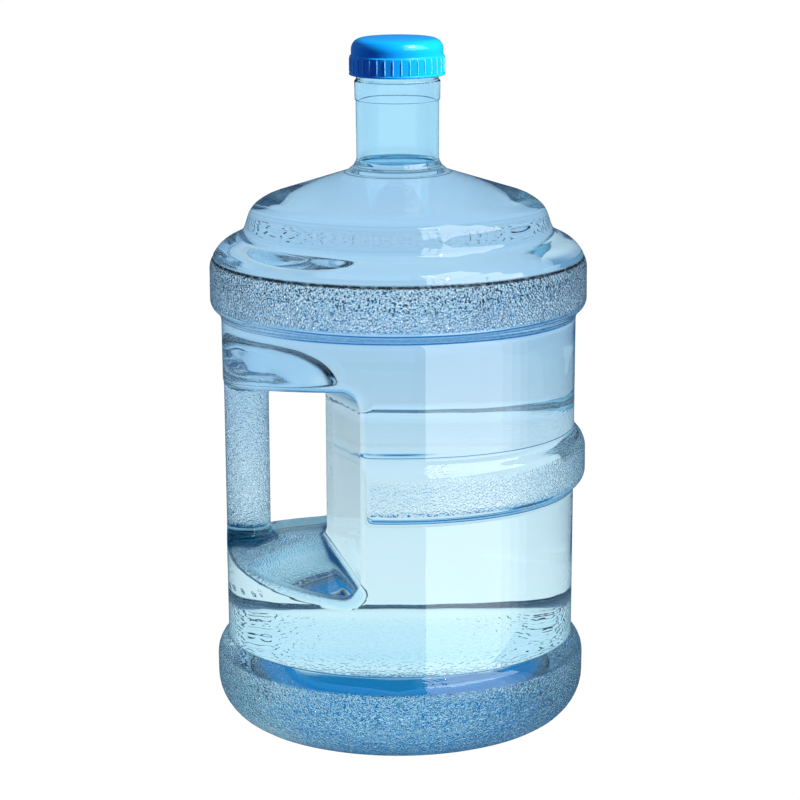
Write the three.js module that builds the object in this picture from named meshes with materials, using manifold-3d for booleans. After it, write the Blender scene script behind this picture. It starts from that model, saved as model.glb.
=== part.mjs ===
// A five-gallon (18.9 litre) polycarbonate water jug: a blow-moulded bottle with a grip moulded through
// its side, a ribbed screw cap on its long neck, and the sealing ring that the cap holds against the lip.
// Millimetres, +Z up. The origin is the middle of the base, on the surface that the jug stands on.
// The grip is on the -X side.
import * as THREE from "three";
import { ConvexGeometry } from "three/addons/geometries/ConvexGeometry.js";
import { mergeVertices } from "three/addons/utils/BufferGeometryUtils.js";
import Module from "manifold-3d";

const wasm = await Module();
wasm.setup();

// ---- Driving dimensions -------------------------------------------------------------------------------

const jug = {
  wall: 1.6,
  bandRadius: 134.8, // the shoulder band, the widest ring
  bodyTopRadius: 127.1,
  bodyBottomRadius: 125.4,
  baseRadius: 133.4,
  standRadius: 109.5, // outer edge of the ring that the jug stands on
  standWidth: 11,
  pushUp: 12, // how far the middle of the base is domed up
  neckRadius: 29.2,
  neckBore: 27.4,
  lipHeight: 491.2,
};

const collar = { radius: 31.1, low: 451.7, high: 465.2 };

const rib = { radius: 134.6, low: 173.5, high: 217, end: -19, corner: 9 };

// The grip recess opens on both sides of the jug and narrows to the hole at its middle plane, Y = 0.
const recess = {
  farX: -180,
  middle: { x: -53, low: 134, high: 245.5, corner: 5 },
  mouth: { x: -24, low: 117.5, high: 266, corner: 14 },
  mouthY: 125,
  overshoot: 16, // how far past the mouth the cutting solid runs
};

const grip = { x: -110.4, radius: 16.4 };
const gripFoot = { top: 146, low: 104, wideX: 50, wideY: 84 };
const gripHead = { low: 238, top: 268, wide: 31 };

const thread = { pitch: 6, rod: 1.6, turns: 1.5, start: 472.5, runOut: 0.12, sunk: 2.6 };
const neckThreadRadius = 29.3;

const cap = {
  top: 496,
  bottom: 469.3,
  wall: 2,
  dome: 32.5,
  skirt: 33.3,
  ribTip: 34.3,
  ribs: 36,
  ribWidth: 1.3,
  ribLow: 471.6,
  ribHigh: 482,
  bore: 31.3,
};
const capThreadRadius = 31.5;

const seal = { radius: 28.9, bore: 24.6, thickness: 2.2, gap: 0.3 };

const ROUND = 40; // flats round the bottle
const BEND = Math.PI / 5; // the most that one flat of a rounded corner turns
const INNER_BEND = Math.PI / 3; // the same inside the bottle, where nobody sees it

// ---- Helpers ------------------------------------------------------------------------------------------

// A closed geometry as a manifold-3d solid.
function solid(geometry) {
  const bare = geometry.clone();
  bare.deleteAttribute("normal");
  bare.deleteAttribute("uv");
  const merged = mergeVertices(bare, 1e-3);
  return new wasm.Manifold(
    new wasm.Mesh({
      numProp: 3,
      vertProperties: merged.getAttribute("position").array,
      triVerts: new Uint32Array(merged.index.array),
    }),
  );
}

// A manifold-3d solid as a named mesh.
function mesh(name, made, material) {
  const got = made.getMesh();
  const geometry = new THREE.BufferGeometry();
  geometry.setAttribute("position", new THREE.BufferAttribute(got.vertProperties, 3));
  geometry.setIndex(new THREE.BufferAttribute(got.triVerts, 1));
  geometry.computeVertexNormals();
  const out = new THREE.Mesh(geometry, material);
  out.name = name;
  return out;
}

// A profile of [radius, height, corner radius] with its corners rounded, as points.
function rounded(corners, bend = BEND) {
  const points = [];
  corners.forEach(([x, y, radius = 0], i) => {
    const here = new THREE.Vector2(x, y);
    if (!radius || i === 0 || i === corners.length - 1) {
      points.push(here);
      return;
    }
    const back = new THREE.Vector2(...corners[i - 1]).sub(here);
    const on = new THREE.Vector2(...corners[i + 1]).sub(here);
    const half = Math.abs(back.angleTo(on)) / 2;
    const reach = Math.min(radius / Math.tan(half), 0.49 * back.length(), 0.49 * on.length());
    const r = reach * Math.tan(half);
    back.normalize();
    on.normalize();
    const toCentre = back.clone().add(on).setLength(r / Math.sin(half));
    const centre = here.clone().add(toCentre);
    const from = back.multiplyScalar(reach).add(here).sub(centre);
    const to = on.multiplyScalar(reach).add(here).sub(centre);
    const turn = Math.atan2(from.x * to.y - from.y * to.x, from.dot(to));
    const flats = Math.ceil(Math.abs(turn) / bend);
    for (let k = 0; k <= flats; k++)
      points.push(from.clone().rotateAround(new THREE.Vector2(), (turn * k) / flats).add(centre));
  });
  return points;
}

// The same profile moved in by a wall's thickness. It runs up with the material on its left.
function inset(corners, wall) {
  return corners.map(([x, y, radius = 0], i) => {
    const side = (a, b) => new THREE.Vector2(a[1] - b[1], b[0] - a[0]).normalize();
    const before = side(corners[Math.max(i - 1, 0)], corners[Math.max(i, 1)]);
    const last = corners.length - 1;
    const after = side(corners[Math.min(i, last - 1)], corners[Math.min(i + 1, last)]);
    const mitre = before.clone().add(after).multiplyScalar(wall / (1 + before.dot(after)));
    const hollow = before.cross(after) < 0;
    return [x + mitre.x, y + mitre.y, radius ? Math.max(radius + (hollow ? wall : -wall), 0.5) : 0];
  });
}

// A profile of points, from the axis to the axis, turned about Z.
function turned(points, flats = ROUND) {
  const profile = [new THREE.Vector2(0, points[0].y), ...points, new THREE.Vector2(0, points.at(-1).y)];
  return solid(new THREE.LatheGeometry(profile, flats).rotateX(Math.PI / 2));
}

// A round rod wound round Z, right-handed. Its ends sink towards `hidden` so that the thread runs out.
class ThreadLine extends THREE.Curve {
  constructor(radius, start, turns, hidden) {
    super();
    Object.assign(this, { radius, start, turns, hidden });
  }
  getPoint(t, target = new THREE.Vector3()) {
    const nearEnd = Math.max(0, 1 - Math.min(t, 1 - t) / thread.runOut);
    const r = this.radius + (this.hidden - this.radius) * nearEnd;
    const angle = t * this.turns * 2 * Math.PI;
    const height = this.start + t * this.turns * thread.pitch;
    return target.set(r * Math.cos(angle), r * Math.sin(angle), height);
  }
}

function threadRod(line) {
  const section = new THREE.Shape().absarc(0, 0, thread.rod, 0, 2 * Math.PI);
  const steps = Math.round(line.turns * 20);
  return solid(
    new THREE.ExtrudeGeometry(section, { curveSegments: 3, steps, extrudePath: line, bevelEnabled: false }),
  );
}

// ---- Bottle -------------------------------------------------------------------------------------------

// The outside of the bottle from the base to the lip: radius, height, corner radius.
const shoulderProfile = [
  [jug.bodyTopRadius, 300.3, 8],
  [jug.bandRadius, 306.5, 12],
  [jug.bandRadius, 335.1, 14],
  [129.8, 349.2, 22],
  [111.3, 356.5, 14],
  [105.3, 374.9, 22],
  [95.7, 381.7, 20],
  [36.5, 400.9, 2],
];
const baseProfile = [
  [jug.standRadius, 0, 12],
  [120.4, 7.6, 10],
  [133, 19.9, 22],
  [jug.baseRadius, 55.6, 12],
  [jug.bodyBottomRadius, 66.5, 2],
];
const finishProfile = [
  [jug.neckRadius, 410.1, 3],
  [jug.neckRadius, collar.low, 1],
  [collar.radius, collar.low + 1.2, 1],
  [collar.radius, collar.high, 1],
  [29.6, collar.high + 0.6],
  [29.2, jug.lipHeight, 0],
];

function pushUpProfile(lift) {
  const inner = jug.standRadius - jug.standWidth;
  return [
    [0, jug.pushUp + lift],
    [62, jug.pushUp + lift - 1, 40],
    [inner - 4, 3 + lift, 10],
    [inner, lift, 1],
  ];
}

function bottleOutside() {
  return [...pushUpProfile(0), ...baseProfile, ...shoulderProfile, ...finishProfile];
}

// The cavity is one wall inside, and its neck is a plain bore that runs out through the lip.
function bottleInside() {
  const shell = inset([...pushUpProfile(0), ...baseProfile, ...shoulderProfile], jug.wall);
  shell.pop();
  return [...shell, [36, 399, 3], [jug.neckBore, 408, 3], [jug.neckBore, jug.lipHeight + 5]];
}

function ribRing(wall) {
  const low = rib.low + wall;
  const high = rib.high - wall;
  const tip = rib.radius - wall;
  const buried = 100;
  const profile = rounded([
    [buried, low],
    [jug.bodyBottomRadius, low, 2],
    [tip, low + 7, 8],
    [tip, high - 9, 10],
    [jug.bodyTopRadius - 1, high, 3],
    [buried, high],
  ]);
  const ring = solid(new THREE.LatheGeometry([...profile, profile[0]], ROUND).rotateX(Math.PI / 2));
  // The rib stops short of the grip recess, with rounded ends.
  const end = rib.end + wall;
  const corner = rib.corner - wall;
  const side = new THREE.Shape();
  side.moveTo(200, low - 1);
  side.lineTo(200, high + 1);
  side.lineTo(end + corner, high + 1);
  side.absarc(end + corner, high - corner, corner, Math.PI / 2, Math.PI, false);
  side.absarc(end + corner, low + corner, corner, Math.PI, 1.5 * Math.PI, false);
  side.lineTo(end + corner, low - 1);
  const span = 300;
  const keep = new THREE.ExtrudeGeometry(side, { depth: span, curveSegments: 3, bevelEnabled: false });
  return ring.intersect(solid(keep.rotateX(Math.PI / 2).translate(0, span / 2, 0)));
}

// One outline of the grip recess, at distance y from the middle plane, with its inner corners rounded.
function recessOutline({ x, low, high, corner }, y, grow) {
  const points = [];
  for (const [z, turn] of [
    [low + corner, -1],
    [high - corner, 1],
  ])
    for (let k = 0; k <= 4; k++) {
      const angle = (k / 4) * (Math.PI / 2);
      const r = corner + grow;
      points.push(
        new THREE.Vector3(x - corner + r * Math.cos(angle), y, z + turn * r * Math.sin(angle)),
      );
    }
  points.push(new THREE.Vector3(recess.farX, y, low - grow), new THREE.Vector3(recess.farX, y, high + grow));
  return points;
}

// The recess as one solid to cut away, grown by the wall for the cavity.
function recessCut(grow) {
  const { middle, mouth, mouthY, overshoot } = recess;
  const past = 1 + overshoot / mouthY;
  const beyond = {};
  for (const key of Object.keys(mouth)) beyond[key] = middle[key] + (mouth[key] - middle[key]) * past;
  const halves = [-1, 1].map((side) => {
    const inner = recessOutline(middle, -0.01 * side, grow);
    const outer = recessOutline(beyond, side * mouthY * past, grow);
    return solid(new ConvexGeometry([...inner, ...outer]));
  });
  return halves[0].add(halves[1]);
}

// A ring of points about the grip's axis.
function gripRing(rx, ry, z) {
  return Array.from({ length: 24 }, (_, k) => {
    const angle = (k / 24) * 2 * Math.PI;
    return new THREE.Vector3(grip.x + rx * Math.cos(angle), ry * Math.sin(angle), z);
  });
}

// The grip column with its flared foot and head, shrunk by the wall for the cavity.
function gripColumn(shrink) {
  const r = grip.radius - shrink;
  const loft = (...rings) => solid(new ConvexGeometry(rings.flat()));
  const column = loft(gripRing(r, r, 90), gripRing(r, r, 290));
  const foot = loft(
    gripRing(r, r, gripFoot.top),
    gripRing(gripFoot.wideX - shrink, gripFoot.wideY - shrink, gripFoot.low),
  );
  const head = loft(
    gripRing(r, r, gripHead.low),
    gripRing(gripHead.wide - shrink, gripHead.wide - shrink, gripHead.top),
  );
  return column.add(foot).add(head);
}

function bottle(material) {
  const skin = turned(rounded(bottleOutside())).add(ribRing(0));
  const cavity = turned(rounded(bottleInside(), INNER_BEND)).add(ribRing(jug.wall));
  const outside = skin.subtract(recessCut(0).subtract(gripColumn(0)));
  const inside = cavity.subtract(recessCut(jug.wall).subtract(gripColumn(jug.wall)));
  const line = new ThreadLine(neckThreadRadius, thread.start, thread.turns, neckThreadRadius - thread.sunk);
  const neckThread = threadRod(line).subtract(turned(rounded(bottleInside())));
  return mesh("jug_body", outside.subtract(inside).add(neckThread), material);
}

// ---- Cap ----------------------------------------------------------------------------------------------

function capRibs() {
  const outline = new THREE.Shape();
  const step = (2 * Math.PI) / cap.ribs;
  const half = cap.ribWidth / 2 / cap.ribTip;
  const put = (angle, r) => {
    const at = [r * Math.cos(angle), r * Math.sin(angle)];
    if (outline.curves.length || outline.currentPoint.lengthSq()) outline.lineTo(...at);
    else outline.moveTo(...at);
  };
  for (let k = 0; k < cap.ribs; k++) {
    const middle = (k + 0.5) * step;
    put(middle - 2.4 * half, cap.skirt - 1);
    put(middle - half, cap.ribTip);
    put(middle + half, cap.ribTip);
    put(middle + 2.4 * half, cap.skirt - 1);
  }
  outline.closePath();
  const height = cap.ribHigh - cap.ribLow;
  return solid(
    new THREE.ExtrudeGeometry(outline, { depth: height, bevelEnabled: false }).translate(0, 0, cap.ribLow),
  );
}

function screwCap(material) {
  const outside = rounded([
    [cap.skirt - 0.3, cap.bottom],
    [cap.ribTip - 0.2, cap.bottom + 0.8],
    [cap.ribTip - 0.2, cap.ribLow],
    [cap.skirt, cap.ribLow + 0.7],
    [cap.skirt, cap.ribHigh],
    [cap.dome + 0.2, cap.ribHigh + 0.8],
    [cap.dome, cap.top - 0.2, 6.2],
    [20, cap.top],
  ]);
  const inside = rounded([
    [cap.bore + 0.6, cap.bottom - 1],
    [cap.bore + 0.6, cap.bottom + 1],
    [cap.bore, cap.bottom + 1.6],
    [cap.bore, cap.top - cap.wall, 3.2],
    [20, cap.top - cap.wall],
  ]);
  const shell = turned(outside, cap.ribs);
  const start = thread.start - thread.pitch / 2;
  const line = new ThreadLine(capThreadRadius, start, thread.turns, capThreadRadius + thread.sunk);
  const capThread = threadRod(line).intersect(shell);
  const hollow = shell.add(capRibs()).subtract(turned(inside, cap.ribs));
  return mesh("screw_cap", hollow.add(capThread), material);
}

function capSeal(material) {
  const low = jug.lipHeight + seal.gap;
  const high = low + seal.thickness;
  const section = [
    [seal.bore, low],
    [seal.radius, low],
    [seal.radius, high],
    [seal.bore, high],
    [seal.bore, low],
  ].map(([x, y]) => new THREE.Vector2(x, y));
  const ring = new THREE.LatheGeometry(section, ROUND).rotateX(Math.PI / 2);
  return mesh("cap_seal", solid(ring), material);
}

// ---- Assembly -----------------------------------------------------------------------------------------

const polycarbonate = new THREE.MeshStandardMaterial({
  color: 0x9fd0f0,
  roughness: 0.08,
  metalness: 0,
  transparent: true,
  opacity: 0.4,
});
const bluePolyethylene = new THREE.MeshStandardMaterial({ color: 0x0a8ff0, roughness: 0.35, metalness: 0 });
const whiteRubber = new THREE.MeshStandardMaterial({ color: 0xf1f3f2, roughness: 0.8, metalness: 0 });

const waterJug = new THREE.Group();
waterJug.add(bottle(polycarbonate), screwCap(bluePolyethylene), capSeal(whiteRubber));

export default waterJug;
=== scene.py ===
# The look of a five-gallon water jug: a clear blue polycarbonate bottle full of water, with a grip moulded
# through its side, a ribbed screw cap and its sealing ring. Everything is in the frame's metres, +Z up.
import math

import bmesh
import bpy
import numpy as np
from mathutils import Matrix, Vector

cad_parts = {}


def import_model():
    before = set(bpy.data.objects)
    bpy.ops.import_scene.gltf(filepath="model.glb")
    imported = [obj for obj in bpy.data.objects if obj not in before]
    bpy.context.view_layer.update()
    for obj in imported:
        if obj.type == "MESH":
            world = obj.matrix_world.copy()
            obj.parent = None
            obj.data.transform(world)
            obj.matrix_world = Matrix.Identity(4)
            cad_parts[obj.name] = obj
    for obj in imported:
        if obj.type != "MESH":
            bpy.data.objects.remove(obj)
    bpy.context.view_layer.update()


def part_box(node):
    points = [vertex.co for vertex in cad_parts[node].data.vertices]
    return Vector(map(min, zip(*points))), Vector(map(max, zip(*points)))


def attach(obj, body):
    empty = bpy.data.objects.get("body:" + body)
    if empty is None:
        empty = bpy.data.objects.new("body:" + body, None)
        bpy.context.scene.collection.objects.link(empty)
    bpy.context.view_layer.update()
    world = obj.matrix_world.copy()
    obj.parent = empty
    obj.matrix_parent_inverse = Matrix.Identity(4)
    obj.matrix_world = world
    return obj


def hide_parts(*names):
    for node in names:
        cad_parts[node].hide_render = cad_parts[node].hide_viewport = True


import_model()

MM = 0.001

# ---- Sizes, in millimetres unless a name says otherwise ----------------------------------------------------

_, body_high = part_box("jug_body")
cap_low, cap_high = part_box("screw_cap")
seal_low, seal_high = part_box("cap_seal")

BAND_R = body_high.x / MM  # the shoulder band, the widest ring
LIP = body_high.z / MM
CAP_TOP = cap_high.z / MM
CAP_BOTTOM = cap_low.z / MM
CAP_RIB_TIP = cap_high.y / MM
SEAL_R, SEAL_WIDTH = seal_high.x / MM, 4.3

WALL = 1.5
AROUND = 320  # vertices round the bottle
OUTER, DRY, WET = 0, 1, 2  # material slots of the bottle

# Radius, height and corner radius of the bottle's outside, from the middle of its base upwards.
PUSH_UP = [(0, 12, 0), (2, 12, 0), (62, 11, 60), (86, 3, 10), (91, 0, 4)]
BASE = [
    (109.5, 0, 31.8),
    (120.4, 7.6, 8.3),
    (133.0, 19.9, 35.1),
    (133.4, 57.1, 22.7),
    (125.3, 63.9, 1.4),
]
BODY_LOW = (125.4, 80)
BODY_HIGH = (127.0, 292)
SHOULDER = [
    (127.1, 300.3, 12),
    (BAND_R, 306.5, 10),
    (BAND_R, 335.1, 14.5),
    (129.8, 349.2, 24.8),
    (111.3, 356.5, 16.7),
    (105.3, 374.9, 50),
    (95.7, 381.7, 60),
    (36.5, 400.9, 3),
    (31.4, 405.2, 2.5),
]
NECK = [
    (29.3, 409.5, 3),
    (29.6, 451.6, 0.15),
    (30.3, 451.85, 0.3),
    (30.5, 465.0, 0.7),
    (29.6, 465.8, 0.6),
]
NECK_R, NECK_MID = 29.5, 430  # between its foot and its collar
NECK_END = 467  # where its threaded part begins
BORE, LIP_DEPTH = 27.4, 6  # the neck's inside, and how far down the lip's part of it goes
CREASE, CREASE_DEPTH = 340.0, 0.5  # the height and depth of the groove round the top of the band
CREASE_WIDTH, CREASE_MARK = 0.75, 1.3  # the half widths of the groove and of the painted shade line in it
NECK_CREASE, NECK_CREASE_WIDTH = 38.0, 0.7  # the radius of the painted shade line round the foot of the neck
FAR_START, FAR_END = -20, 50  # y over which the near side passes into the far one, whose marks are fainter

# The grip zone: the heights between which the grip and the rib lie, its radii, and the cell of its grid.
ZONE_LOW, ZONE_HIGH = 96.0, 288.0
ZONE_IN, ZONE_OUT = 42.0, 140.0
STEP = 2.0
RIB_R, RIB_LOW, RIB_HIGH, RIB_END = 134.5, 180.5, 207.5, -25.0
GRIP_X, GRIP_R = -110.3, 16.4

WATER_LEVEL, WATER_SKIN = 406.6, 0.4
WET_TOP, CLIMB = 408.0, 1.7  # where the water's edge climbs to on the wall, and how fast

THREAD_PITCH, THREAD_TURNS, THREAD_HALF, THREAD_R = 6.0, 1.5, 1.9, 29.2
NECK_THREAD, NECK_THREAD_HEIGHT = 472.5, 1.7  # where the neck's thread starts and how far it stands out
CAP_THREAD, CAP_THREAD_HEIGHT = 469.5, 1.4
CAP_RIBS, CAP_SKIRT, CAP_DOME, CAP_BORE, CAP_RIB_TOP = 36, 33.7, 32.7, 31.3, 482.0
CAP_FLANGE, CAP_CROWN = 0.5, 2.2  # how far the flange stands out, and the thickness of the top

# ---- Colours, linear ---------------------------------------------------------------------------------------

# The bottle's tint at heights in millimetres: the thicker the moulded wall, the deeper the blue.
TINTS = [
    (0, (0.56, 0.88, 1.0)),
    (13, (0.56, 0.88, 1.0)),
    (20, (0.37, 0.77, 1.0)),
    (45, (0.42, 0.81, 1.0)),
    (60, (0.62, 0.90, 0.98)),
    (110, (0.64, 0.88, 0.97)),
    (180, (0.58, 0.84, 0.97)),
    (240, (0.46, 0.73, 0.93)),
    (300, (0.36, 0.62, 0.87)),
    (400, (0.39, 0.70, 0.96)),
    (420, (0.42, 0.78, 1.0)),
    (492, (0.42, 0.78, 1.0)),
]
# What rays that have come through the bottle see of the room, at the sine of an elevation. Its dark zones
# give the bottle its deep blue lines, and stay where they are when the camera moves.
SKY = [
    (0.0, (0.60, 0.84, 0.95)),
    (0.09, (0.50, 0.78, 0.92)),
    (0.15, (0.01, 0.24, 0.60)),
    (0.42, (0.01, 0.22, 0.52)),
    (0.59, (0.01, 0.22, 0.48)),
    (0.68, (0.80, 0.94, 1.0)),
    (0.80, (0.01, 0.06, 0.15)),
]
# The same towards -Y.
SKY_FRONT = [
    (0.0, (0.60, 0.80, 0.92)),
    (0.05, (0.003, 0.03, 0.10)),
    (0.82, (0.003, 0.03, 0.10)),
    (0.92, (0.30, 0.48, 0.62)),
]
SKY_SIDE = (0.90, 1.0, 1.05)  # low towards +X
# What they see of the floor, at distances in metres from the jug's axis; darker within 0.15, a painted shadow
# under the jug.
GROUND = [
    (0.0, (0.45, 0.68, 0.82)),
    (0.10, (0.50, 0.74, 0.86)),
    (0.15, (0.62, 0.80, 0.90)),
    (0.19, (1.0, 1.02, 1.02)),
    (0.24, (1.05, 1.05, 1.05)),
    (0.65, (1.05, 1.05, 1.05)),
    (1.1, (0.88, 0.88, 0.88)),
    (1.9, (1.0, 1.0, 1.0)),
]
GROUND_REACH = 2.0
GROUND_NEAR_SHADE = (0.004, 0.07, 0.20)  # painted shade close round the base, except on the grip's side
GROUND_FRONT = (0.003, 0.04, 0.12)  # up to half a metre away towards -Y
GROUND_SIDE = (0.28, 0.46, 0.62)  # towards +X and -X
AMBIENT = (0.02, 0.02, 0.20)  # what the surroundings give to matt surfaces, beside the lights
SHEEN, FLOOR_SHEEN = (0.05, 0.08, 0.12), (0.05, 0.10, 0.17)  # what mirror reflections see of room and floor
WHITE, WHITE_STRENGTH = (1.0, 1.0, 1.0), 1.02  # what the camera sees of both
CAP_DEEP, CAP_LIGHT = (0.003, 0.38, 0.93), (0.004, 0.41, 0.97)
CAP_RIB_HIGHLIGHT = (0.35, 0.75, 1.0)  # painted highlight on the tops of its ribs
PIT_SHADE, PAINTED_GROOVE_SHADE = (0.002, 0.01, 0.02), (0.0004, 0.0012, 0.003)  # painted shade in the stipple's pits and in the dark line of the groove
PALE = (0.80, 0.96, 1.0)  # the tint in the recess, where the wall is blown thin
NAVY_SHADE = (0.002, 0.09, 0.20)  # painted shade at the foot of the grip and round the foot of the neck
# painted shade: the face of the water is tinted dark blue, lighter and darker at random
WATER_DEEP, WATER_LIGHT = (0.06, 0.38, 0.62), (0.16, 0.52, 0.74)
RUBBER_DARK, RUBBER_LIGHT = (0.74, 0.76, 0.76), (0.84, 0.85, 0.85)

IOR_PLASTIC, IOR_WATER = 1.585, 1.333
IOR_WET = 1.189  # the plastic against the water

# ---- The room ----------------------------------------------------------------------------------------------

FLOOR_RINGS, FLOOR_AROUND, FLOOR_DROP = [0.1, 0.2, 0.4, 0.8, 1.6, 3.2, 6.0, 14.0], 64, 0.0004
CAMERA_AT, CAMERA_LENS = (0.0008, -2.1169, 0.6993), 135.0
CAMERA_DOWN, CAMERA_ROLL = 12.4, -0.28  # degrees

# A window on the right, as strips along its width: each one's start and end in metres, and its power.
WINDOW = [(0, 0.25, 0.50), (0.25, 0.30, 0.07), (0.30, 0.36, 0.05), (0.36, 0.44, 0.03)]
WINDOW_AT, WINDOW_ALONG = (0.076, -0.316), (0.839, 0.545)  # its near edge, and the direction of its width
WINDOW_HEIGHT, WINDOW_MIDDLE = 0.255, 0.128
# Rows of window panes overhead: elevation, first column's edges and last edge, as azimuths in degrees.
PANES = [(34, 19, 24, 90), (49, 21, 26, 88), (64, 28, 34, 84)]
PANE_DISTANCE, PANE_HEIGHT, PANE_POWER = 1.6, 0.41, 4.6  # metres, metres, watts a metre of width
PANE_BAR, PANE_COLUMN = 1, 6  # degrees: the bar between two columns, and the middle column
PANES_FACE = 0.35  # the height on the axis that they face


# ---- Profiles ----------------------------------------------------------------------------------------------

def rounded(corners, turn=9.0, longest=6.0):
    """Points along a profile of (radius, height, corner radius), a flat of an arc turning at most turn
    degrees and no straight stretch longer than longest."""
    at = np.array([c[:2] for c in corners], float)
    radius = np.array([c[2] for c in corners], float)
    step = np.diff(at, axis=0)
    length = np.hypot(*step.T)
    unit = step / length[:, None]
    cross = unit[:-1, 0] * unit[1:, 1] - unit[:-1, 1] * unit[1:, 0]
    bend = np.zeros(len(at))
    bend[1:-1] = np.arctan2(cross, (unit[:-1] * unit[1:]).sum(1))
    slope = np.tan(np.abs(bend) / 2)
    reach = radius * slope
    fits = np.minimum(1, 0.98 * length / np.maximum(reach[:-1] + reach[1:], 1e-9))
    reach[:-1] *= fits
    reach[1:] *= fits
    points = [at[0]]
    for k in range(1, len(at) - 1):
        if reach[k] < 1e-6:
            points.append(at[k])
            continue
        start = at[k] - unit[k - 1] * reach[k]
        arc = reach[k] / slope[k]
        side = math.copysign(1, bend[k])
        centre = start + arc * side * np.array([-unit[k - 1][1], unit[k - 1][0]])
        flats = max(2, math.ceil(math.degrees(abs(bend[k])) / turn))
        for angle in bend[k] * np.arange(flats + 1) / flats:
            c, s = math.cos(angle), math.sin(angle)
            points.append(centre + np.array([[c, -s], [s, c]]) @ (start - centre))
    points.append(at[-1])
    filled = [points[0]]
    for p in points[1:]:
        start = filled[-1]
        gap = np.linalg.norm(p - start)
        pieces = math.ceil(gap / longest) if gap > 1e-4 else 0
        filled += [start + (p - start) * (k + 1) / pieces for k in range(pieces)]
    return np.array(filled)


def headings(points):
    """The direction of a profile at each of its points: the mean of the directions before and after it."""
    step = np.diff(points, axis=0)
    unit = step / np.linalg.norm(step, axis=1)[:, None]
    mean = np.vstack([unit[:1], unit[:-1] + unit[1:], unit[-1:]])
    return mean / np.linalg.norm(mean, axis=1)[:, None]


def moved_in(points, by):
    """A profile that runs with the wall on its left, moved into the wall."""
    along = headings(points)
    return points + by * np.c_[-along[:, 1], along[:, 0]]


# ---- The grip zone as an implicit surface ------------------------------------------------------------------

def hard_round_max(a, b, r):
    """The larger of two distances, with the convex edge between them rounded to radius r."""
    return np.minimum(np.maximum(a + r, b + r), 0) + np.hypot(np.maximum(a + r, 0), np.maximum(b + r, 0)) - r


def hard_round_min(a, b, r):
    return -hard_round_max(-a, -b, r)


def body_radius(z):
    (r0, z0), (r1, z1) = BODY_LOW, BODY_HIGH
    return r0 + (r1 - r0) * (z - z0) / (z1 - z0)


def rib_distance(x, z, r):
    """The raised rib round the body, which stops short of the grip."""
    top = (r - RIB_R) * 0.72 + (z - RIB_HIGH) * 0.694
    bottom = (r - RIB_R) * 0.603 - (z - RIB_LOW) * 0.798
    d = hard_round_max(r - RIB_R, top, 4.0)
    d = hard_round_max(d, bottom, 4.0)
    return hard_round_max(d, RIB_END - x, 5.0)


def recess_distance(x, y, z):
    """The hand recess, open on both sides and narrowing to a hole at the middle plane."""
    out = np.sqrt(y * y + 9.0) - 3.0  # distance from the middle plane, with its ridge rounded
    share = out / 124.0
    wall = (x - (-53.0 + 28.5 * share)) * 0.974
    ceiling = (z - (245.5 + 20.5 * share)) * 0.986
    floor = ((134.0 - 16.5 * share) - z) * 0.991
    corner = 6.0 + (8.0 + 22.0 * ramp(y, 0, 40)) * np.clip(share, 0, 1.2)
    d = hard_round_max(wall, ceiling, corner)
    return hard_round_max(d, floor, corner)


def grip_distance(x, y, z):
    """The grip column, which flares out at its foot and a little at its head."""
    column = np.hypot(x - GRIP_X, y) - GRIP_R
    foot = 1 - np.sqrt(1 - np.clip((143.0 - z) / 30.0, 0, 1) ** 2)
    head = 1 - np.sqrt(1 - np.clip((z - 243.0) / 26.0, 0, 1) ** 2)
    wide_x, wide_y = GRIP_R + 32.0 * foot + 16.0 * head, GRIP_R + 66.0 * foot + 20.0 * head
    flared = (np.hypot((x - GRIP_X) / wide_x, y / wide_y) - 1) * wide_x
    away = ramp(z, 266, 276) + ramp(-z, -112, -102)  # above and below the recess the body itself is there
    return np.minimum(column, flared) + 30.0 * away


def outside(x, y, z):
    """Signed distance from the bottle's outside, about true near it, between the grip zone's heights."""
    r = np.hypot(x, y)
    body = r - body_radius(z)
    skin = hard_round_min(body, rib_distance(x, z, r), 3.0)
    cut = hard_round_max(skin, -recess_distance(x, y, z), 6.5)
    grip = hard_round_max(grip_distance(x, y, z), body, 2.0)
    return hard_round_min(cut, grip, np.clip(-0.8 * (body + 0.5), 1e-3, 6.0))


def gradient(x, y, z, e=0.05):
    steps = [
        outside(x + e, y, z) - outside(x - e, y, z),
        outside(x, y + e, z) - outside(x, y - e, z),
        outside(x, y, z + e) - outside(x, y, z - e),
    ]
    return np.stack(steps, axis=-1) / (2 * e)


def facing(points, normals, quads):
    """The same quads, each turned to face the way that its corners' normals point."""
    a, b, c, d = (points[quads[:, k]] for k in range(4))
    turned = (np.cross(c - a, d - b) * normals[quads].sum(1)).sum(1) < 0
    return np.where(turned[:, None], quads[:, ::-1], quads)


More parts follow.
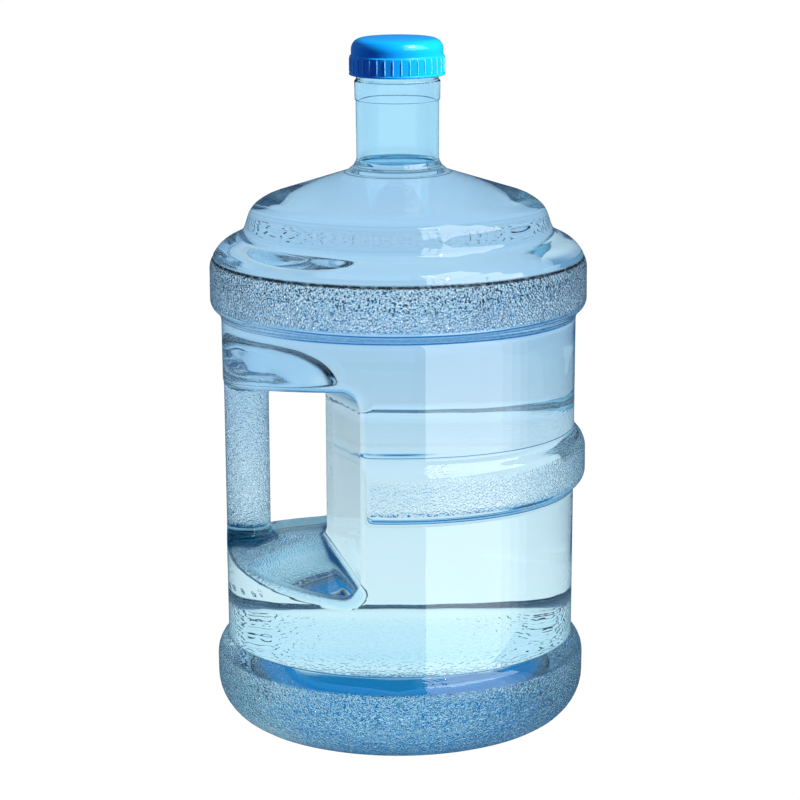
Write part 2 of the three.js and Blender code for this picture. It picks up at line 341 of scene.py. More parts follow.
def zone_mesh(level):
    """The surface where outside() equals level, as one vertex per grid cell that it crosses (surface nets),
    on a grid round the axis. Returns the points, their outward normals, the quads, and the vertex numbers of
    the lowest and the highest row."""
    turn = 2 * math.pi / AROUND
    nz = round((ZONE_HIGH - ZONE_LOW) / STEP)
    nr = round((ZONE_OUT - ZONE_IN) / STEP)
    theta = np.arange(AROUND) * turn - turn / 2
    zs = ZONE_LOW + STEP * np.arange(nz + 1)
    rs = ZONE_IN + STEP * np.arange(nr + 1)
    t, z, r = np.meshgrid(theta, zs, rs, indexing="ij")
    value = outside(r * np.cos(t), r * np.sin(t), z) - level
    value[value == 0] = 1e-9
    inside = value < 0

    def corner(a, dt, dz, dr):
        return np.roll(a, -dt, 0)[:, dz : nz + dz, dr : nr + dr]

    corners = list(np.ndindex(2, 2, 2))
    count = sum(corner(inside, *c).astype(int) for c in corners)
    crossed = (count > 0) & (count < 8)
    number = np.full(crossed.shape, -1)
    number[crossed] = np.arange(crossed.sum())
    total = np.zeros((crossed.sum(), 3))
    weight = np.zeros(crossed.sum())
    for axis in range(3):
        for c in corners:
            if c[axis]:
                continue
            other = tuple(1 if k == axis else v for k, v in enumerate(c))
            a, b = corner(value, *c)[crossed], corner(value, *other)[crossed]
            cross = (a < 0) != (b < 0)
            f = np.where(cross, a / np.where(cross, a - b, 1), 0)
            at = np.array(c, float)[None] + f[:, None] * np.eye(3)[axis]
            total += np.where(cross[:, None], at, 0)
            weight += cross
    cell = np.argwhere(crossed) + total / weight[:, None]
    angle = theta[0] + turn * cell[:, 0]
    height = ZONE_LOW + STEP * cell[:, 1]
    radius = ZONE_IN + STEP * cell[:, 2]
    points = np.c_[radius * np.cos(angle), radius * np.sin(angle), height]
    low_row, high_row = np.argwhere(crossed)[:, 1] == 0, np.argwhere(crossed)[:, 1] == nz - 1
    for _ in range(4):
        g = gradient(*points.T)
        off = outside(*points.T) - level
        points -= np.clip(off, -1, 1)[:, None] * g / np.maximum((g * g).sum(1), 0.05)[:, None]
    g = gradient(*points.T)
    normals = g / np.linalg.norm(g, axis=1)[:, None]
    quads = []
    for axis in range(3):
        u, v = [k for k in range(3) if k != axis]
        if axis == 0:
            after = np.roll(inside, -1, 0)
        else:
            after = inside.take(np.arange(1, inside.shape[axis] + 1), axis, mode="clip")
        change = np.argwhere(inside != after)
        around = []
        for du, dv in ((0, 0), (-1, 0), (-1, -1), (0, -1)):
            at = change.copy()
            at[:, u] += du
            at[:, v] += dv
            at[:, 0] %= AROUND
            good = ((at[:, 1:] >= 0) & (at[:, 1:] < (nz, nr))).all(1)
            at[~good] = 0
            around.append(np.where(good, number[tuple(at.T)], -1))
        around = np.array(around).T
        quads.append(around[(around >= 0).all(1)])
    quads = facing(points, normals, np.concatenate(quads))
    order = np.argsort(np.argwhere(crossed)[:, 0], kind="stable")
    rows = [np.array([i for i in order if row[i]]) for row in (low_row, high_row)]
    return points, normals, quads, rows


# ---- Meshes ------------------------------------------------------------------------------------------------

class Build:
    """A mesh being put together: points in millimetres with normals, and faces with material slots."""

    def __init__(self):
        self.points, self.normals, self.faces, self.slots = [], [], [], []
        self.count = 0

    def add(self, points, normals):
        first = self.count
        self.points.append(points)
        self.normals.append(normals)
        self.count += len(points)
        return first

    def quads(self, quads, slot):
        self.faces += quads.tolist()
        self.slots += np.broadcast_to(slot, len(quads)).tolist()

    def ring_rows(self, rows, slot=0):
        """Quads between rings of vertex numbers, given from one to the next."""
        slots = np.broadcast_to(slot, len(rows) - 1)
        for low, high, one in zip(rows, rows[1:], slots):
            self.quads(np.c_[low, np.roll(low, -1), np.roll(high, -1), high], one)

    def pole(self, ring, z, up, slot):
        """Closes a ring with one vertex on the axis."""
        middle = self.add(np.array([[0.0, 0.0, z]]), np.array([[0.0, 0.0, up]]))
        for a, b in zip(ring, np.roll(ring, -1)):
            self.faces.append([int(a), int(b), middle] if up > 0 else [int(b), int(a), middle])
            self.slots.append(slot)

    def piece(self, name, materials, body, slot, *replaced, **marks):
        """The finished object. Each of marks is a function of x, y and z, kept as an attribute."""
        points = np.concatenate(self.points)
        normals = np.concatenate(self.normals)
        mesh = bpy.data.meshes.new(name)
        mesh.from_pydata((points * MM).tolist(), [], self.faces)
        mesh.polygons.foreach_set("material_index", np.array(self.slots, np.int32))
        mesh.polygons.foreach_set("use_smooth", np.ones(len(self.faces), bool))
        for key, mark in marks.items():
            amount = mesh.attributes.new(key, "FLOAT", "POINT")
            amount.data.foreach_set("value", mark(*points.T).astype(np.float32))
        for m in materials:
            mesh.materials.append(m)
        mesh.update()
        mesh.normals_split_custom_set_from_vertices(normals.tolist())
        obj = bpy.data.objects.new(name, mesh)
        bpy.context.scene.collection.objects.link(obj)
        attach(obj, body)
        if replaced:
            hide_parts(*replaced)
        return obj


def lathe(build, profile, angles, push=None):
    """Rings of vertices for a profile of (radius, height) points that runs with the material on its left.
    push gives, for angles and heights, how far a point moves out. Returns the rings' vertex numbers."""
    along = headings(profile)
    grid = np.ones((len(profile), len(angles)))
    r, z = grid * profile[:, :1], grid * profile[:, 1:]
    out, up, side = grid * along[:, 1:], grid * -along[:, :1], 0 * grid
    if push is not None:
        r = r + push(angles[None] * grid, z)
        ends = np.arange(len(profile))
        before, after = np.maximum(ends - 1, 0), np.minimum(ends + 1, len(profile) - 1)
        dr, dz = r[after] - r[before], z[after] - z[before]
        size = np.hypot(dr, dz)
        out, up = dz / size, -dr / size
        spread = np.roll(angles, -1) - np.roll(angles, 1)
        spread = (spread + 2 * math.pi) % (2 * math.pi)
        side = -(np.roll(r, -1, 1) - np.roll(r, 1, 1)) / (r * spread) * out
    c, s = np.cos(angles), np.sin(angles)
    points = np.stack([r * c, r * s, z], -1).reshape(-1, 3)
    normals = np.stack([out * c - side * s, out * s + side * c, up], -1).reshape(-1, 3)
    normals /= np.linalg.norm(normals, axis=1)[:, None]
    first = build.add(points, normals)
    return [first + k * len(angles) + np.arange(len(angles)) for k in range(len(profile))]


def finer(profile, low, high, gap):
    """A profile with more points, gap apart, where it lies between two heights."""
    points = [profile[0]]
    for p in profile[1:]:
        start = points[-1]
        near = max(p[1], start[1]) > low and min(p[1], start[1]) < high
        pieces = math.ceil(np.linalg.norm(p - start) / gap) if near else 1
        points += [start + (p - start) * (k + 1) / pieces for k in range(pieces)]
    return np.array(points)


def ramp(value, start, end):
    """0 before start and 1 after end, with a smooth step between them."""
    t = np.clip((value - start) / (end - start), 0, 1)
    return t * t * (3 - 2 * t)


def thread(start, height):
    """A push for one right-handed thread that starts on +X at a height and fades out at its ends."""
    whole = THREAD_TURNS * 2 * math.pi

    def push(angle, z):
        total = 0 * z
        for k in range(math.ceil(THREAD_TURNS)):
            run = angle % (2 * math.pi) + 2 * math.pi * k
            centre = start + THREAD_PITCH * run / (2 * math.pi)
            fade = ramp(run, 0, 0.9) * ramp(-run, -whole, 0.9 - whole)
            bump = np.clip(1 - ((z - centre) / THREAD_HALF) ** 2, 0, 1) ** 1.5
            total = total + fade * bump
        return height * total

    return push


# ---- The bottle --------------------------------------------------------------------------------------------

def near_side(y, fainter):
    """1 on the near side, less by fainter on the far one, towards +Y."""
    return 1 - fainter * ramp(y, FAR_START, FAR_END)


def stippled(x, y, z):
    """Where the mould's surface is stippled: the band, the rib's face, the grip, the recess's far wall and
    the base ring."""
    r = np.hypot(x, y)
    band = ramp(z, 308.5, 311.5) * ramp(-z, -341.5, -338.5)
    band *= 0.85 + 0.55 * ramp(z, 318, 332)  # rougher towards its top
    rib = ramp(r, RIB_R - 1.2, RIB_R - 0.5) * ramp(z, 181, 184) * ramp(-z, -207, -204)
    bar = ramp(-np.hypot(x - GRIP_X, y), -GRIP_R - 1.5, -GRIP_R - 0.7)
    bar *= ramp(z, 143, 150) * ramp(-z, -247, -240)
    wall = ramp(-np.abs(x + 50), -7, -4) * ramp(-np.abs(y), -34, -24)
    wall *= ramp(z, 142, 152) * ramp(-z, -240, -228)
    base = ramp(-z, -53.5, -51.5) * ramp(r, 100, 106)
    round_body = near_side(y, 0.88) * (band + 0.16 * rib + 0.65 * base)
    return np.clip(round_body + 0.22 * bar + 0.12 * wall, 0, 1.4)


def creased(x, y, z):
    """Painted shade: the dark lines round the top of the band, in its groove, and round the foot of the neck.
    """
    r = np.hypot(x, y)
    at_band = np.exp(-(((z - CREASE) / CREASE_MARK) ** 4)) * (r > 128)
    at_neck = 0.9 * np.exp(-(((r - NECK_CREASE) / NECK_CREASE_WIDTH) ** 2)) * (z > 399) * (z < 404)
    return near_side(y, 0.8) * (at_band + at_neck)


def foot_shading(x, y, z):
    """Painted shade: at the foot of the grip, and in a ring at the foot of the neck."""
    r = np.hypot(x, y)
    at_grip = ramp(-grip_distance(x, y, z), -9.0, -1.0) * ramp(-z, -149, -139) * (z > 106)
    at_grip *= (x < -70) * (recess_distance(x, y, z) < 4.0) * (r < 132)
    return at_grip + 0.45 * np.exp(-(((z - 406) / 2.6) ** 2)) * (r < 38)


def thin(x, y, z):
    """The walls of the hand recess, which are blown thin."""
    inside = (x > -88) * (np.hypot(x, y) < 132) * (z > 100) * (z < 280)
    return ramp(-recess_distance(x, y, z), -3.0, -0.5) * inside


def groove(angle, z):
    """The fine groove round the top of the shoulder band."""
    return -CREASE_DEPTH * np.exp(-(((z - CREASE) / CREASE_WIDTH) ** 2))


def bottle(materials):
    build = Build()
    angles = np.arange(AROUND) * 2 * math.pi / AROUND
    foot = (body_radius(ZONE_LOW), ZONE_LOW, 0)
    low = rounded(PUSH_UP + BASE + [(*BODY_LOW, 0), foot])
    head = (body_radius(ZONE_HIGH), ZONE_HIGH, 0)
    middle = (NECK_R, NECK_MID, 0)
    shoulder = rounded([head, (*BODY_HIGH, 0)] + SHOULDER + NECK[:1] + [middle])
    neck = rounded([middle] + NECK[1:] + [(THREAD_R, NECK_END, 0)])
    threaded = np.array([(THREAD_R, z) for z in np.arange(NECK_END + 0.5, 487.6, 0.7)])
    lip = [(THREAD_R, 488, 0), (THREAD_R, LIP, 0.8), (BORE, LIP, 0.8), (BORE, LIP - LIP_DEPTH, 0)]
    lip = rounded(lip, 15)
    inner_shoulder = moved_in(shoulder, WALL)
    inner_shoulder = inner_shoulder[inner_shoulder[:, 0] > 40][::-1]
    edge, beyond = inner_shoulder[:2]
    fall = (edge[1] - beyond[1]) / (edge[0] - beyond[0])
    bend = (BORE, edge[1] + (BORE - edge[0]) * fall, 5)
    bore = rounded([(BORE, LIP - LIP_DEPTH, 0), (BORE, WET_TOP, 0), bend, (*edge, 0)])[1:]
    inner_low = moved_in(low, WALL)[::-1]

    outer_rows = lathe(build, low[1:], angles)
    build.pole(outer_rows[0], low[0][1], -1, OUTER)
    points, normals, quads, (low_row, high_row) = zone_mesh(0.0)
    first = build.add(points, normals)
    build.quads(first + quads, OUTER)
    build.ring_rows(outer_rows + [first + low_row], OUTER)
    top_rows = [first + high_row]
    grooved = finer(shoulder, CREASE - 2.5, CREASE + 2.5, 0.45)
    grooved = finer(grooved, 399.6, 401.6, 0.5)  # for the painted shade line round the foot of the neck
    top_rows += lathe(build, grooved[1:], angles, push=groove)
    top_rows += lathe(build, neck[1:], angles)
    top_rows += lathe(build, threaded, angles, push=thread(NECK_THREAD, NECK_THREAD_HEIGHT))
    top_rows += lathe(build, lip[1:], angles)
    build.ring_rows(top_rows, OUTER)

    profile = np.vstack([bore, inner_shoulder[1:-1]])
    inner_rows = [top_rows[-1]] + lathe(build, profile, angles)
    points, normals, quads, (low_row, high_row) = zone_mesh(-WALL)
    first = build.add(points, -normals)
    build.quads(first + quads[:, ::-1], WET)
    inner_rows.append(first + high_row)
    heights = np.r_[profile[:, 1], ZONE_HIGH]
    build.ring_rows(inner_rows, np.where(heights < WET_TOP - 0.01, WET, DRY))
    floor_rows = lathe(build, inner_low[1:-1], angles)
    build.ring_rows([first + low_row] + floor_rows, WET)
    build.pole(floor_rows[-1], inner_low[-1][1], 1, WET)
    return build.piece(
        "bottle", materials, "jug", "clear_blue_polycarbonate", "jug_body",
        stipple=stippled, crease=creased, pale=thin, deep=foot_shading,
    )


def water(materials):
    """The face of the water in the neck: its top with the rise at the wall, and a bottom just under it."""
    build = Build()
    angles = np.arange(AROUND // 2) * 4 * math.pi / AROUND
    r = np.r_[np.linspace(3, 21, 7), np.linspace(22, BORE, 16) + 0.02]
    top = np.c_[r, WATER_LEVEL + (WET_TOP - WATER_LEVEL) * np.exp((r - BORE) / CLIMB)][::-1]
    under = (top - (0, WATER_SKIN))[::-1]
    rows = lathe(build, top, angles)
    build.ring_rows(rows, 0)
    build.pole(rows[-1], WATER_LEVEL, 1, 0)
    rows = lathe(build, under, angles)
    build.pole(rows[0], WATER_LEVEL - WATER_SKIN, -1, 1)
    build.ring_rows(rows, 1)
    build.ring_rows([rows[-1], np.arange(len(angles))], 1)
    return build.piece("water_surface", materials, "jug", "clear_blue_polycarbonate")


# ---- The cap and its seal ----------------------------------------------------------------------------------

def cap(materials):
    build = Build()
    half = np.array([0.1, 0.3, 0.45, 0.6, 0.8, 1.3, 2.2]) / CAP_SKIRT
    pitch = 2 * math.pi / CAP_RIBS
    centres = (np.arange(CAP_RIBS) + 0.5) * pitch
    angles = np.sort((centres[:, None] + np.r_[-half[::-1], half]).ravel())

    def from_rib(angle):
        return np.abs((angle % pitch) - pitch / 2) * CAP_SKIRT

    def ribs(angle, z):
        high = ramp(z, CAP_BOTTOM + 1.6, CAP_BOTTOM + 2.4) * ramp(-z, -CAP_RIB_TOP - 0.6, -CAP_RIB_TOP + 1.2)
        return (CAP_RIB_TIP - CAP_SKIRT - 0.02) * ramp(-from_rib(angle), -0.62, -0.08) * high

    # Painted highlight: where the tops of the ribs are painted lighter.
    def crests(x, y, z):
        high = ramp(z, CAP_BOTTOM + 1.6, CAP_BOTTOM + 2.4) * ramp(-z, -CAP_RIB_TOP - 1.0, -CAP_RIB_TOP + 0.4)
        return ramp(-from_rib(np.arctan2(y, x)), -0.5, -0.2) * high * (np.hypot(x, y) > CAP_BORE + 1)

    inside_top = CAP_TOP - CAP_CROWN
    corners = [
        (CAP_BORE, inside_top - 6, 0),
        (CAP_BORE, CAP_BOTTOM, 0.5),
        (CAP_SKIRT + CAP_FLANGE, CAP_BOTTOM, 0.6),
        (CAP_SKIRT + CAP_FLANGE, CAP_BOTTOM + 1.3, 0.5),
        (CAP_SKIRT, CAP_BOTTOM + 1.6, 0.3),
        (CAP_SKIRT, CAP_RIB_TOP + 0.6, 0.5),
        (CAP_DOME, CAP_RIB_TOP + 1.6, 0.8),
        (CAP_DOME, CAP_TOP - 1.7, 7.8),
        (CAP_DOME - 15, CAP_TOP - 0.3, 80),
        (2, CAP_TOP, 0),
    ]
    outer = rounded(corners, 8, 1.3)
    outer = outer[(np.abs(outer[:, 0] - CAP_BORE) > 1e-3) | (outer[:, 1] < CAP_BOTTOM + 1)]
    bore = rounded([(2, inside_top, 0), (CAP_BORE, inside_top, 3.2), (CAP_BORE, CAP_BOTTOM + 1, 0)], 12, 0.9)
    screw = thread(CAP_THREAD, CAP_THREAD_HEIGHT)
    inner_rows = lathe(build, bore, angles, push=lambda angle, z: -screw(angle, z))
    build.pole(inner_rows[0], inside_top, -1, 0)
    outer_rows = lathe(build, outer, angles, push=ribs)
    build.ring_rows(inner_rows + outer_rows, 0)
    build.pole(outer_rows[-1], CAP_TOP, 1, 0)
    return build.piece("cap_shell", materials, "cap", "blue_cap_plastic", "screw_cap", crest=crests)


def seal(materials):
    build = Build()
    angles = np.arange(180) * math.pi / 90
    low, high = seal_low.z / MM, seal_high.z / MM
    inner, half = SEAL_R - SEAL_WIDTH, (low + high) / 2
    corners = [
        (SEAL_R, half, 0),
        (SEAL_R, high, 0.7),
        (inner, high, 0.7),
        (inner, low, 0.7),
        (SEAL_R, low, 0.7),
        (SEAL_R, half - 0.01, 0),
    ]
    rows = lathe(build, rounded(corners, 15, 1.2)[:-1], angles)
    build.ring_rows(rows + rows[:1], 0)
    return build.piece("seal_ring", materials, "seal", "white_seal_rubber", "cap_seal")


# ---- Materials ---------------------------------------------------------------------------------------------

class Nodes:
    """A small wrapper round one node tree."""

    def __init__(self, tree):
        self.tree = tree
        tree.nodes.clear()

    def add(self, kind, **values):
        node = self.tree.nodes.new("ShaderNode" + kind)
        for name, value in values.items():
            setattr(node, name, value)
        return node

    def set(self, node, **values):
        for name, value in values.items():
            self.put(node.inputs[name.replace("_", " ")], value)
        return node

    def put(self, socket, value):
        if isinstance(value, bpy.types.NodeSocket):
            self.tree.links.new(value, socket)
        else:
            socket.default_value = value

    def math(self, operation, a, b=0.0, clamp=False):
        node = self.add("Math", operation=operation, use_clamp=clamp)
        self.put(node.inputs[0], a)
        self.put(node.inputs[1], b)
        return node.outputs[0]

    def mix(self, share, a, b):
        node = self.add("Mix", data_type="RGBA")
        self.put(node.inputs[0], share)
        self.put(node.inputs[6], a)
        self.put(node.inputs[7], b)
        return node.outputs[2]

    def noise(self, scale, detail=2.0):
        """Noise in the object's own coordinates, from 0 to 1."""
        node = self.add("TexNoise")
        self.put(node.inputs["Vector"], self.add("TexCoord").outputs["Object"])
        self.put(node.inputs["Scale"], scale)
        self.put(node.inputs["Detail"], detail)
        return node.outputs[0]

    def mark(self, name):
        return self.add("Attribute", attribute_name=name).outputs["Fac"]

    def apart(self, vector):
        node = self.add("SeparateXYZ")
        self.put(node.inputs[0], vector)
        return node.outputs

    def product(self, *factors):
        total = factors[0]
        for factor in factors[1:]:
            total = self.math("MULTIPLY", total, factor)
        return total

    def ramp(self, value, stops):
        node = self.add("ValToRGB")
        elements = node.color_ramp.elements
        while len(elements) < len(stops):
            elements.new(0.5)
        for element, (position, colour) in zip(elements, stops):
            element.position = position
            element.color = rgba(*colour)
        self.put(node.inputs[0], value)
        return node.outputs[0]

    def smooth(self, value, low, high):
        node = self.add("MapRange", interpolation_type="SMOOTHSTEP")
        self.set(node, Value=value, From_Min=low, From_Max=high)
        return node.outputs[0]

    def falling(self, value, low, high):
        return self.math("SUBTRACT", 1.0, self.smooth(value, low, high))

    def seen(self, colour, sheen):
        """White for the camera, AMBIENT for matt surfaces, sheen for mirror reflections, and colour for rays
        that have come through the bottle. Is Glossy Ray alone is 1 for those rays too."""
        path = self.add("LightPath").outputs
        mirrored = self.product(path["Is Glossy Ray"], path["Is Reflection Ray"])
        dim = self.mix(path["Is Diffuse Ray"], colour, rgba(*AMBIENT))
        dim = self.mix(mirrored, dim, rgba(*sheen))
        return self.mix(path["Is Camera Ray"], dim, rgba(*WHITE))

    def bump(self, height, distance, strength, normal=None):
        node = self.add("Bump")
        self.set(node, Height=height, Distance=distance, Strength=strength)
        if normal is not None:
            self.put(node.inputs["Normal"], normal)
        return node.outputs[0]


def node_tree(owner):
    owner.use_nodes = True
    return Nodes(owner.node_tree)


def principled(name, roughness, colour=(1.0, 1.0, 1.0), **values):
    m = bpy.data.materials.new(name)
    nodes = node_tree(m)
    out = nodes.add("OutputMaterial")
    shader = nodes.add("BsdfPrincipled")
    nodes.set(shader, Base_Color=rgba(*colour), Roughness=roughness, **values)
    nodes.put(out.inputs["Surface"], shader.outputs[0])
    return m, nodes, shader


def rgba(r, g, b):
    return (r, g, b, 1.0)


def polycarbonate():
    """The outer skin: tinted by height, lighter where the recess's walls are blown thin, with painted shade
    at the foot of the grip, round the foot of the neck and in the band's groove. Its stipple is a bump with
    painted shade in its fine pits and painted glints on its tips.
    """
    m, nodes, shader = principled("polycarbonate", 0.0, IOR=IOR_PLASTIC, Transmission_Weight=1.0)
    height = nodes.apart(nodes.add("TexCoord").outputs["Object"])["Z"]
    reach = 500.0  # millimetres over the whole ramp
    tint = nodes.ramp(nodes.math("MULTIPLY", height, 1 / (reach * MM)), [(z / reach, c) for z, c in TINTS])
    tint = nodes.mix(nodes.product(nodes.mark("pale"), 0.75), tint, rgba(*PALE))
    # painted shade at the foot of the grip and round the foot of the neck
    tint = nodes.mix(nodes.mark("deep"), tint, rgba(*NAVY_SHADE))
    scaled = nodes.add("VectorMath", operation="SCALE")
    nodes.put(scaled.inputs[0], tint)
    nodes.put(scaled.inputs["Scale"], nodes.math("ADD", nodes.product(nodes.noise(14.0), 0.12), 0.94))
    mask = nodes.mark("stipple")
    fine = nodes.noise(760.0, 0.0)
    # painted shade in the stipple's pits and painted glints on its tips
    pits, tips = nodes.smooth(fine, 0.58, 0.66), nodes.falling(fine, 0.34, 0.44)
    dotted = nodes.mix(nodes.product(pits, mask, 0.9), scaled.outputs[0], rgba(*PIT_SHADE))
    dotted = nodes.mix(nodes.product(tips, mask, 0.9), dotted, rgba(1, 1, 1))
    ragged = nodes.math("ADD", nodes.product(nodes.noise(260.0), 0.9), 0.6)
    # painted shade: dark lines in the band's groove and round the foot of the neck
    line = nodes.math("MULTIPLY", nodes.mark("crease"), ragged, clamp=True)
    nodes.put(shader.inputs["Base Color"], nodes.mix(line, dotted, rgba(*PAINTED_GROOVE_SHADE)))
    grain = nodes.smooth(nodes.noise(640.0, 0.5), 0.34, 0.66)
    waves = nodes.bump(nodes.noise(22.0, 1.0), 0.0012, 0.25)
    nodes.put(shader.inputs["Normal"], nodes.bump(nodes.product(grain, mask), 0.0023, 1.0, waves))
    return m


def inner_wall(name, ior):
    m, nodes, shader = principled(name, 0.0, IOR=ior, Transmission_Weight=1.0)
    nodes.put(shader.inputs["Normal"], nodes.bump(nodes.noise(17.0, 1.0), 0.0012, 0.25))
    return m


def water_face():
    m, nodes, shader = principled("water_top", 0.0, IOR=IOR_WATER, Transmission_Weight=1.0)
    waves = nodes.noise(60.0, 1.0)
    # painted shade: the face of the water is tinted dark blue
    nodes.put(shader.inputs["Base Color"], nodes.mix(waves, rgba(*WATER_DEEP), rgba(*WATER_LIGHT)))
    nodes.put(shader.inputs["Normal"], nodes.bump(waves, 0.0006, 0.1))
    return m


def nothing():
    """For the lower side of the water's face: there is only water round it, so it isn't seen."""
    m = bpy.data.materials.new("water_under")
    nodes = node_tree(m)
    out = nodes.add("OutputMaterial")
    nodes.put(out.inputs["Surface"], nodes.add("BsdfTransparent").outputs[0])
    return m


def cap_plastic():
    m, nodes, shader = principled("cap_plastic", 0.3, IOR=1.5)
    plain = nodes.mix(nodes.noise(60.0, 3.0), rgba(*CAP_DEEP), rgba(*CAP_LIGHT))
    # painted highlight on the tops of the ribs
    crest = nodes.product(nodes.mark("crest"), 0.7)
    nodes.put(shader.inputs["Base Color"], nodes.mix(crest, plain, rgba(*CAP_RIB_HIGHLIGHT)))
    fine = nodes.noise(900.0)
    nodes.put(shader.inputs["Roughness"], nodes.math("ADD", nodes.product(fine, 0.04), 0.14))
    nodes.put(shader.inputs["Normal"], nodes.bump(fine, 0.00002, 0.5))
    return m


def rubber():
    m, nodes, shader = principled("white_rubber", 0.6, IOR=1.45)
    cloud = nodes.noise(200.0, 3.0)
    nodes.put(shader.inputs["Base Color"], nodes.mix(cloud, rgba(*RUBBER_DARK), rgba(*RUBBER_LIGHT)))
    nodes.put(shader.inputs["Normal"], nodes.bump(nodes.noise(1500.0), 0.00005, 0.5))
    return m


# ---- The stage ---------------------------------------------------------------------------------------------

def floor():
    """A wide, plain pale floor."""
    mesh = bpy.data.meshes.new("floor")
    bm = bmesh.new()
    angles = np.arange(FLOOR_AROUND) * 2 * math.pi / FLOOR_AROUND
    middle = bm.verts.new((0, 0, 0))
    rings = [[bm.verts.new((r * math.cos(a), r * math.sin(a), 0)) for a in angles] for r in FLOOR_RINGS]
    for k in range(FLOOR_AROUND):
        after = (k + 1) % FLOOR_AROUND
        bm.faces.new((middle, rings[0][k], rings[0][after]))
        for near, far in zip(rings, rings[1:]):
            bm.faces.new((near[k], far[k], far[after], near[after]))
    bm.to_mesh(mesh)
    bm.free()
    mesh.materials.append(floor_paint())
    obj = bpy.data.objects.new("floor", mesh)
    obj.location.z = -FLOOR_DROP
    bpy.context.scene.collection.objects.link(obj)


def floor_paint():
    m = bpy.data.materials.new("floor")
    nodes = node_tree(m)
    out = nodes.add("OutputMaterial")
    place = nodes.add("TexCoord").outputs["Object"]
    away = nodes.add("VectorMath", operation="LENGTH")
    nodes.put(away.inputs[0], place)
    away = away.outputs["Value"]
    x, y, _ = nodes.apart(place)
    share = nodes.math("MULTIPLY", away, 1 / GROUND_REACH, clamp=True)
    # the floor's darker middle is a painted shadow under the jug
    ground = nodes.ramp(share, [(r / GROUND_REACH, colour) for r, colour in GROUND])
    aside = nodes.math("DIVIDE", nodes.math("ABSOLUTE", x), away)
    side = nodes.product(nodes.smooth(aside, 0.80, 0.92), nodes.smooth(away, 0.25, 0.4))
    ground = nodes.mix(side, ground, rgba(*GROUND_SIDE))
    # painted shade in a ring close round the base, except on the grip's side
    ring = nodes.product(nodes.falling(away, 0.160, 0.176), nodes.smooth(away, 0.10, 0.13))
    ground = nodes.mix(nodes.product(ring, nodes.smooth(x, -0.08, -0.02)), ground, rgba(*GROUND_NEAR_SHADE))
    front = nodes.product(nodes.falling(away, 0.5, 0.8), nodes.falling(y, -0.22, -0.13))
    ground = nodes.mix(front, ground, rgba(*GROUND_FRONT))
    glow = nodes.add("Emission")
    nodes.set(glow, Color=nodes.seen(ground, FLOOR_SHEEN), Strength=WHITE_STRENGTH)
    nodes.put(out.inputs["Surface"], glow.outputs[0])
    return m


def world():
    w = bpy.data.worlds.new("studio")
    bpy.context.scene.world = w
    nodes = node_tree(w)
    out = nodes.add("OutputWorld")
    x, y, z = nodes.apart(nodes.add("TexCoord").outputs["Generated"])
    right = nodes.smooth(x, 0.25, 0.50)
    sky = nodes.mix(nodes.product(nodes.falling(z, 0.62, 0.70), right), nodes.ramp(z, SKY), rgba(*SKY_SIDE))
    back = nodes.math("ADD", y, nodes.product(right, 0.4))
    sky = nodes.mix(nodes.smooth(back, -0.5, -0.2), nodes.ramp(z, SKY_FRONT), sky)
    shown = nodes.add("Background")
    nodes.set(shown, Color=nodes.seen(sky, SHEEN), Strength=WHITE_STRENGTH)
    nodes.put(out.inputs["Surface"], shown.outputs[0])


def card(name, azimuth, distance, height, size, power, aim=None, way=None, **seen):
    """A rectangular light at an azimuth in degrees, 0 towards -Y and 90 towards +X. It faces the height aim
    on the jug's axis, or the direction way. Refracted rays don't see it, and neither do the kinds of ray
    given as False."""
    a = math.radians(azimuth)
    data = bpy.data.lights.new(name, "AREA")
    data.shape = "RECTANGLE"
    data.size, data.size_y = size
    data.energy = power
    obj = bpy.data.objects.new(name, data)
    obj.location = (distance * math.sin(a), -distance * math.cos(a), height)
    ahead = Vector(way) if way else Vector((0, 0, aim)) - obj.location
    obj.rotation_euler = ahead.to_track_quat("-Z", "Y").to_euler()
    obj.visible_camera = obj.visible_transmission = False
    for key, value in seen.items():
        setattr(obj, "visible_" + key, value)
    bpy.context.scene.collection.objects.link(obj)
    return obj


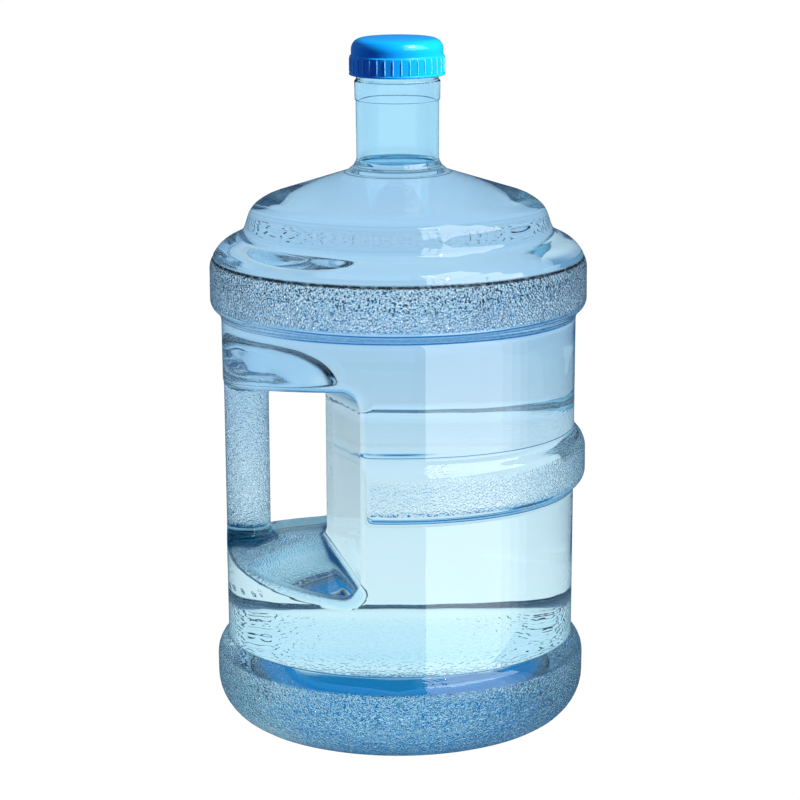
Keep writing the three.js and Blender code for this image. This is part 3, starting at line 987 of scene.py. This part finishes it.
def windows():
    """The window's strips and the panes, which only mirror reflections see."""
    for n, (start, end, power) in enumerate(WINDOW):
        middle = (start + end) / 2
        x, y = (at + along * middle for at, along in zip(WINDOW_AT, WINDOW_ALONG))
        card(
            f"window_{n}", math.degrees(math.atan2(x, -y)), math.hypot(x, y), WINDOW_MIDDLE,
            (end - start, WINDOW_HEIGHT), power, way=(-WINDOW_ALONG[1], WINDOW_ALONG[0], 0), diffuse=False,
        )
    for row, (elevation, first, second, last) in enumerate(PANES):
        distance = PANE_DISTANCE * math.cos(math.radians(elevation))
        height = PANES_FACE + PANE_DISTANCE * math.sin(math.radians(elevation))
        third = second + PANE_BAR + PANE_COLUMN
        columns = [(first, second), (second + PANE_BAR, third), (third + PANE_BAR, last)]
        for column, (start, end) in enumerate(columns):
            width = 2 * distance * math.tan(math.radians(end - start) / 2)
            card(
                f"pane_{row}_{column}", (start + end) / 2, distance, height, (width, PANE_HEIGHT),
                PANE_POWER * width, aim=PANES_FACE, diffuse=False,
            )


def camera():
    data = bpy.data.cameras.new("camera")
    data.lens = CAMERA_LENS
    data.sensor_width = 36.0
    data.clip_end = 50.0
    obj = bpy.data.objects.new("camera", data)
    pitch = Matrix.Rotation(math.radians(90 - CAMERA_DOWN), 4, "X")
    roll = Matrix.Rotation(math.radians(CAMERA_ROLL), 4, "Z")
    obj.matrix_world = Matrix.Translation(CAMERA_AT) @ pitch @ roll
    bpy.context.scene.collection.objects.link(obj)
    bpy.context.scene.camera = obj


camera()
floor()
world()
windows()
card("sun", 47, 0.9, 1.9, (0.035, 0.035), 2.4, aim=0.4, diffuse=False)
card("fill", -118, 1.2, 0.9, (0.3, 0.6), 3.5, aim=0.48, glossy=False)
card("key", 66, 1.5, 1.5, (0.5, 0.5), 82, aim=0.4, glossy=False)
card("shine", 50, 1.2, 1.95, (0.42, 0.16), 9, aim=0.48, diffuse=False)

bottle([polycarbonate(), inner_wall("inner_dry", IOR_PLASTIC), inner_wall("inner_wet", IOR_WET)])
water([water_face(), nothing()])
lit = bpy.data.collections.new("lit_by_shine")
lit.objects.link(cap([cap_plastic()]))
for name in ("shine", "fill"):  # these two light only the cap
    bpy.data.objects[name].light_linking.receiver_collection = lit
seal([rubber()])

scene = bpy.context.scene
scene.view_settings.view_transform = "Standard"
scene.cycles.max_bounces = 32
scene.cycles.transmission_bounces = 32
scene.cycles.glossy_bounces = 12
scene.cycles.transparent_max_bounces = 32
